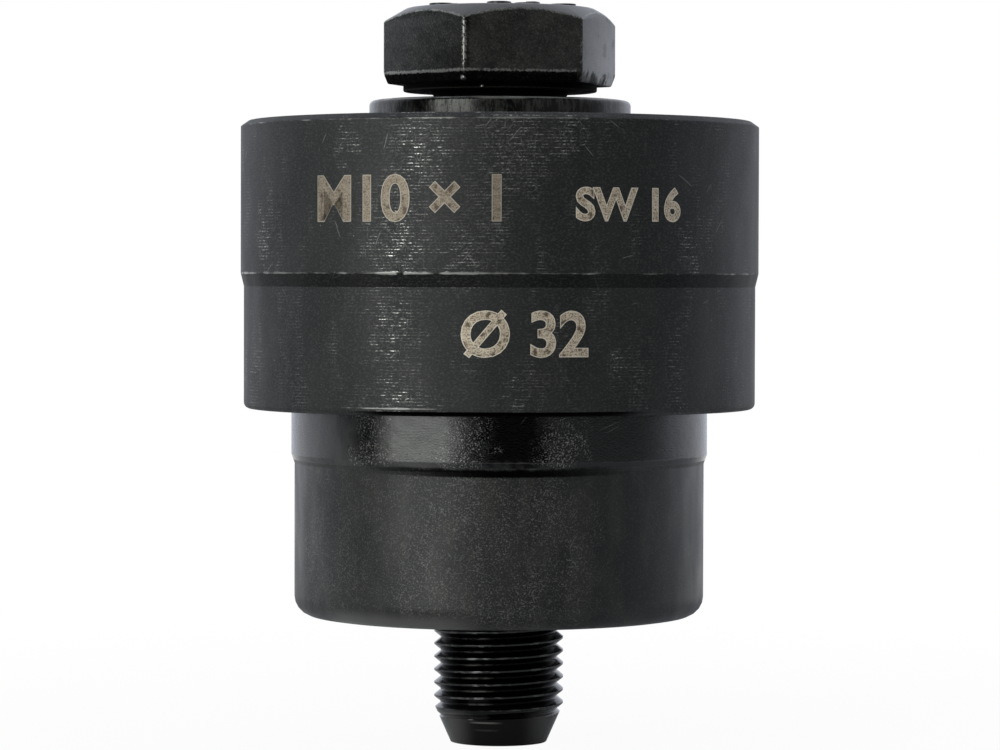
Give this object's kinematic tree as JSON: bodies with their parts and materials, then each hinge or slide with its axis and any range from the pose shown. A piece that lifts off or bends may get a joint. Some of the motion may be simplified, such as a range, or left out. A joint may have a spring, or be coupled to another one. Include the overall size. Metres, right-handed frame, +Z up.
{
  "type": "hole cutter",
  "caption": "Screw-drawn hole punch for sheet metal: a hexagon-headed draw bolt pulls a toothed round punch up into a cup-shaped die.",
  "frame": {"origin": "centre of the draw bolt's tip face, on which the tool stands", "axes": "+Z up the draw bolt's axis from its tip to its head; -Y faces the camera of the picture"},
  "size_m": [0.0398, 0.0398, 0.0565],
  "materials": {
    "bolt_steel": "black oxide, oiled, worn bright on the edges of the hexagon",
    "washer_steel": "black oxide, polished, with rubbed patches",
    "die_steel": "black oxide over fine turning lines, edges worn bright",
    "punch_steel": "black oxide, oily, mottled"
  },
  "bodies": {
    "punch": {"punch": "punch_steel"},
    "washer": {"thrust_washer": "washer_steel"},
    "die": {"die": "die_steel"},
    "bolt": {"draw_bolt": "bolt_steel"}
  },
  "joints": [
    {"name": "punch_draw", "type": "slide", "parent": "punch", "child": "washer", "axis": [0, 0, 1], "range_m": [0, 0.016]},
    {"name": "bolt_turn", "type": "hinge", "parent": "washer", "child": "bolt", "pos_m": [0, 0, 0], "axis": [0, 0, 1], "range_deg": [0, 5760]},
    {"name": "die_spin", "type": "hinge", "parent": "washer", "child": "die", "pos_m": [0, 0, 0], "axis": [0, 0, 1], "continuous": true}
  ],
  "couplings": [
    {"joint": "bolt_turn", "follows": "punch_draw", "rad_per_m": 6283.2}
  ]
}
